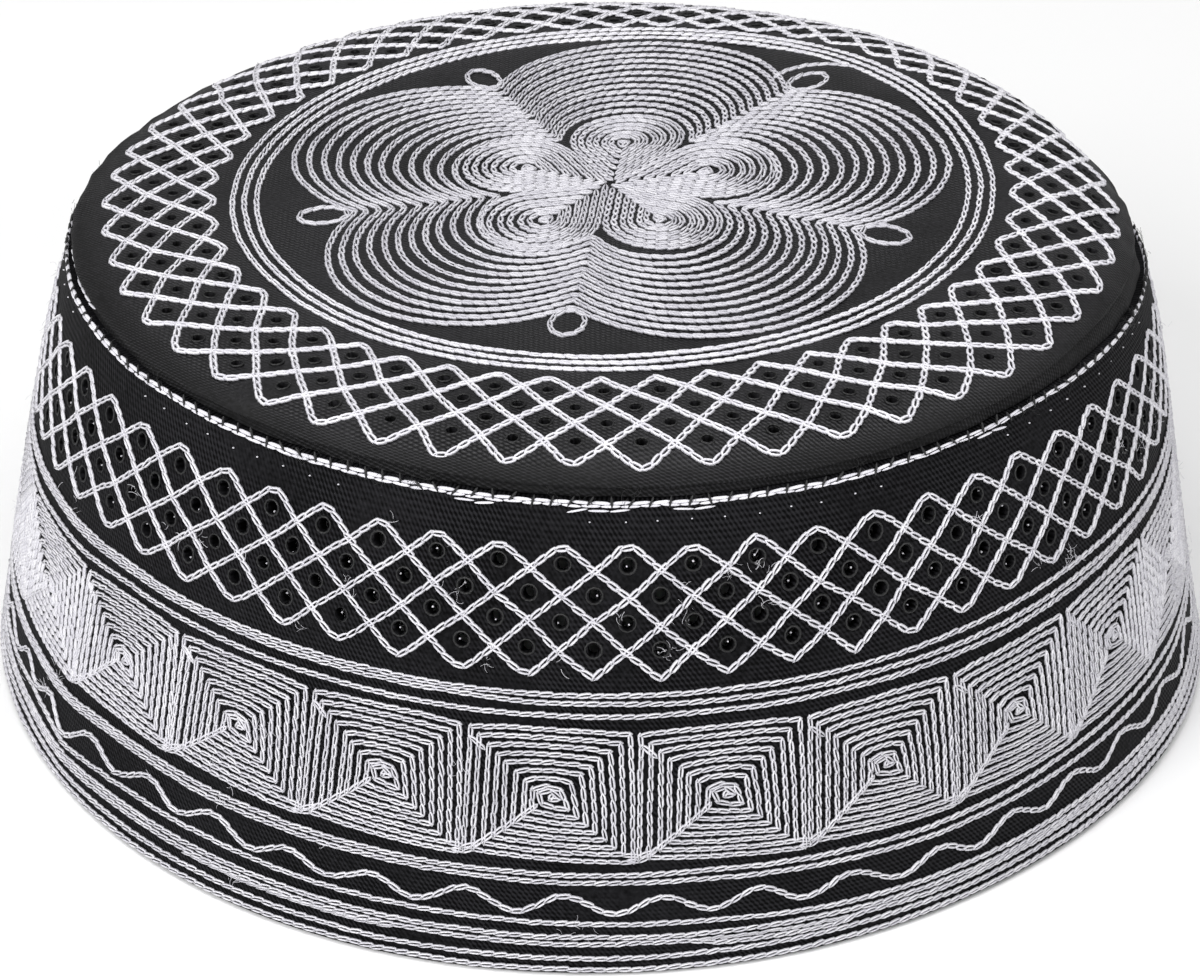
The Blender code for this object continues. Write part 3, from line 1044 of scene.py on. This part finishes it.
class Wire:
    """One socket of a material's nodes. Plain arithmetic on it adds Math nodes."""

    def __init__(self, finish, socket):
        self.finish = finish
        self.socket = socket

    def _math(self, operation, *values):
        return self.finish.node("ShaderNodeMath", {"operation": operation}, dict(enumerate(values)))

    def __add__(self, other):
        return self._math("ADD", self, other)

    __radd__ = __add__

    def __mul__(self, other):
        return self._math("MULTIPLY", self, other)

    def __sub__(self, other):
        return self._math("SUBTRACT", self, other)

    def __rsub__(self, other):
        return self._math("SUBTRACT", other, self)

    def __pow__(self, other):
        return self._math("POWER", self, other)

    def sine(self):
        return self._math("SINE", self)

    def clamped(self):
        return self.finish.node("ShaderNodeClamp", {}, {0: self})


class Finish:
    """A material whose nodes are added through one method."""

    def __init__(self, name, **constants):
        self.material = bpy.data.materials.new(name)
        self.material.use_nodes = True
        self.tree = self.material.node_tree
        self.shader = self.tree.nodes["Principled BSDF"]
        for socket, value in constants.items():
            self.shader.inputs[socket.replace("_", " ")].default_value = value

    def node(self, kind, settings, values, output=0):
        """Add a node: its settings first, then the values or links of its sockets. Gives one output."""
        node = self.tree.nodes.new(kind)
        for name, value in settings.items():
            setattr(node, name, value)
        for key, value in values.items():
            if isinstance(value, Wire):
                self.tree.links.new(value.socket, node.inputs[key])
            else:
                node.inputs[key].default_value = value
        return Wire(self, node.outputs[output])

    def parts(self, vector):
        split = self.node("ShaderNodeSeparateXYZ", {}, {0: vector})
        return [Wire(self, socket) for socket in split.socket.node.outputs]

    def uv(self, name):
        return self.node("ShaderNodeUVMap", {"uv_map": name}, {})

    def tone(self):
        return self.node("ShaderNodeAttribute", {"attribute_name": "tone"}, {}, "Fac")

    def grain(self, scale, detail=2.0):
        """Noise at the piece's own places."""
        place = self.node("ShaderNodeTexCoord", {}, {}, "Object")
        return self.node("ShaderNodeTexNoise", {}, {"Vector": place, "Scale": scale, "Detail": detail})

    def blend(self, share, dark, light):
        """A colour between two others."""
        values = {0: share, 6: (*dark, 1.0), 7: (*light, 1.0)}
        return self.node("ShaderNodeMix", {"data_type": "RGBA"}, values, 2)

    def bump(self, height, distance, strength=1.0):
        values = {"Height": height, "Distance": distance, "Strength": strength}
        return self.node("ShaderNodeBump", {}, values)

    def wear(self, **sockets):
        """Link results to the shader's own sockets."""
        for socket, wire in sockets.items():
            self.tree.links.new(wire.socket, self.shader.inputs[socket.replace("_", " ")])
        return self.material
def twill(finish, pitch, slope):
    """Share of light in twill lines that run aslant over the cloth's own map, and their height too."""
    u, v, _w = finish.parts(finish.uv("cloth"))
    drift = finish.grain(160.0) * TWILL_WANDER
    cosine, sine = math.cos(slope * DEG), math.sin(slope * DEG)
    across = (u * cosine + v * sine) * (math.tau / pitch)
    along = (v * cosine - u * sine) * (math.tau / (pitch * 1.6))
    rib = (across + drift).sine() * 0.5 + 0.5
    float_end = (along + across * 0.5).sine() * 0.5 + 0.5
    shown = (finish.grain(90.0, 1.0) * 3.0 - 0.8).clamped()
    return (rib * 0.62 + float_end * 0.38 - 0.5) * shown + 0.5


def weave(finish, pitch, slope, patches, light, roughness, shine, roll_rough_and_painted_shade=None):
    """Colour, roughness and relief of a twill cloth. Where it is rolled it is rougher, and its colour is
    painted darker there as painted shade.
    """
    rib = twill(finish, pitch, slope)
    patch = finish.grain(patches, 3.0)
    speck = finish.grain(1500.0)
    shade = rib * 2.0 + patch + speck * 1.2 - 1.68
    roughness = roughness - rib * shine + patch * 0.1
    if roll_rough_and_painted_shade is not None:
        # The rolled edge's colour is darkened here: painted shade. The added roughness below is real.
        shade = shade - roll_rough_and_painted_shade * 0.3
        roughness = roughness + roll_rough_and_painted_shade * 0.3
    return finish.wear(
        Base_Color=finish.blend(shade.clamped(), CLOTH_DARK, light),
        Roughness=roughness,
        Normal=finish.bump(rib * 0.8 + speck * 0.4, 0.00026),
    )


def band_cloth_finish():
    finish = Finish("band_cloth", Specular_IOR_Level=0.06)
    return weave(finish, 0.00056, 38.0, 45.0, (0.0155, 0.0153, 0.0173), 0.72, 0.18)


def crown_cloth_finish():
    finish = Finish("crown_cloth", Specular_IOR_Level=0.3)
    u, v, _w = finish.parts(finish.uv("cloth"))
    # Mask of the crown's rolled edge beyond the flat crown: it makes the cloth rougher there and paints its
    # colour darker as painted shade.
    roll_rough_and_painted_shade = (((u * u + v * v) ** 0.5 - 0.0770) * 260.0).clamped()
    return weave(finish, 0.00058, 52.0, 38.0, (0.019, 0.0185, 0.021), 0.58, 0.26, roll_rough_and_painted_shade)


def thread_finish(name, dark, light, roughness, sheen, gloss):
    finish = Finish(name, Specular_IOR_Level=gloss, Sheen_Weight=sheen, Sheen_Roughness=0.4)
    along, around_strand, _w = finish.parts(finish.uv("thread"))
    ply = ((along * 10.0 + around_strand * 2.0) * math.tau).sine() * 0.5 + 0.5
    fuzz = finish.grain(2600.0)
    shade = ply * 0.35 + fuzz * 0.3 + finish.tone() * 0.35
    return finish.wear(
        Base_Color=finish.blend(shade.clamped(), dark, light),
        Roughness=roughness + ply * 0.12,
        Normal=finish.bump(ply * 0.6 + fuzz * 0.4, 0.00005, 0.5),
    )


def floor_finish():
    finish = Finish("pale_floor", Specular_IOR_Level=0.2)
    patch = finish.grain(6.0, 3.0)
    return finish.wear(
        Base_Color=finish.blend(patch, (0.86, 0.86, 0.86), (0.9, 0.9, 0.9)),
        Roughness=0.8 + patch * 0.1,
    )


# Floor, light and camera

def floor():
    mesh = bmesh.new()
    bmesh.ops.create_grid(mesh, x_segments=2, y_segments=2, size=3.0)
    data = bpy.data.meshes.new("floor")
    mesh.to_mesh(data)
    mesh.free()
    data.materials.append(floor_finish())
    plane = bpy.data.objects.new("floor", data)
    bpy.context.scene.collection.objects.link(plane)


def softbox(name, place, aim, size, power):
    light = bpy.data.lights.new(name, "AREA")
    light.shape = "RECTANGLE"
    light.size, light.size_y = size
    light.energy = power
    lamp = bpy.data.objects.new(name, light)
    bpy.context.scene.collection.objects.link(lamp)
    way = Vector(aim) - Vector(place)
    lamp.matrix_world = Matrix.Translation(place) @ way.to_track_quat("-Z", "Y").to_matrix().to_4x4()


def lights():
    world = bpy.data.worlds.new("studio")
    world.use_nodes = True
    world.node_tree.nodes["Background"].inputs["Color"].default_value = (1.0, 1.0, 1.0, 1.0)
    world.node_tree.nodes["Background"].inputs["Strength"].default_value = 0.33
    bpy.context.scene.world = world
    bpy.context.scene.view_settings.view_transform = "Standard"
    softbox("overhead", (0.0, -0.2, 1.1), (0.0, 0.0, 0.05), (1.2, 0.9), 8.3)
    softbox("front_left", (-0.8, -0.9, 0.8), (0.0, 0.0, 0.04), (0.8, 0.8), 15.2)
    softbox("front_right", (0.9, -0.8, 0.6), (0.0, 0.0, 0.04), (0.7, 0.7), 5.8)


def camera():
    """Stand the camera before the cap, then turn it the little that the photo's is turned."""
    elevation, yaw, pitch, roll = (angle * DEG for angle in CAMERA_ANGLES)
    place = Vector((0.0, -CAMERA_DISTANCE * math.cos(elevation), CAMERA_DISTANCE * math.sin(elevation)))
    back = place.normalized()
    right = Vector((0.0, 0.0, 1.0)).cross(back).normalized()
    up = back.cross(right)
    aim = Matrix((right, -up, -back)).to_3x3()
    turn = Matrix.Rotation(roll, 3, "Z") @ Matrix.Rotation(pitch, 3, "X") @ Matrix.Rotation(yaw, 3, "Y")
    rows = turn @ aim
    pose = Matrix((rows[0], -rows[1], -rows[2])).transposed().to_4x4()
    lens = bpy.data.cameras.new("camera")
    lens.sensor_width = SENSOR_WIDTH
    lens.sensor_fit = "HORIZONTAL"
    lens.lens = SENSOR_WIDTH * CAMERA_FOCUS / PHOTO_WIDTH
    lens.clip_start = 0.01
    shot = bpy.data.objects.new("camera", lens)
    bpy.context.scene.collection.objects.link(shot)
    shot.matrix_world = Matrix.Translation(place) @ pose
    bpy.context.scene.camera = shot


def main():
    camera()
    lights()
    floor()
    white = thread_finish("white_thread", (0.48, 0.47, 0.53), (0.85, 0.842, 0.865), 0.36, 0.1, 0.6)
    dense = thread_finish("flower_thread", (0.36, 0.352, 0.40), (0.72, 0.712, 0.745), 0.4, 0.08, 0.5)
    black = thread_finish("black_thread", (0.002, 0.002, 0.002), (0.012, 0.012, 0.013), 0.45, 0.02, 0.45)
    side_band_cloth(band_cloth_finish())
    crown_cloth(crown_cloth_finish())
    link, strand, speck, fibre = chain_link(), seam_strand(), seam_strand(6, 4), hair()
    half = SQUARES // 2
    for name, shape, stitching, material in (
        ("square_stitches_first_half", link, square_stitching(0, half), white),
        ("square_stitches_second_half", link, square_stitching(half, SQUARES), white),
        ("band_line_stitches", link, band_line_stitching(), white),
        ("wave_stitches", link, wave_stitching(), white),
        ("band_lattice_stitches", link, band_lattice_stitching(), white),
        ("crown_lattice_stitches", link, crown_lattice_stitching(), white),
        ("ring_stitches", link, ring_stitching(), white),
        ("flower_stitches", link, flower_stitching(), dense),
        ("eyelet_rings", eyelet_ring(), eyelet_stitching(), black),
        ("seam_satin_stitches", strand, seam_white_stitching(), white),
        ("seam_whip_stitches", strand, seam_black_stitching(), black),
        ("seam_dots", speck, seam_dot_stitching(), white),
        ("eyelet_glints", speck, glint_stitching(), white),
        ("loose_white_fibres", fibre, hair_stitching(SEED + 60, 70, 43.0, 62.0), white),
        ("loose_fibres_on_squares", fibre, hair_stitching(SEED + 61, 60, 4.0, 38.0), white),
        ("loose_black_fibres", fibre, hair_stitching(SEED + 62, 80, 65.4, 67.0, 0.25), black),
    ):
        copies(name, shape, stitching, material)


main()
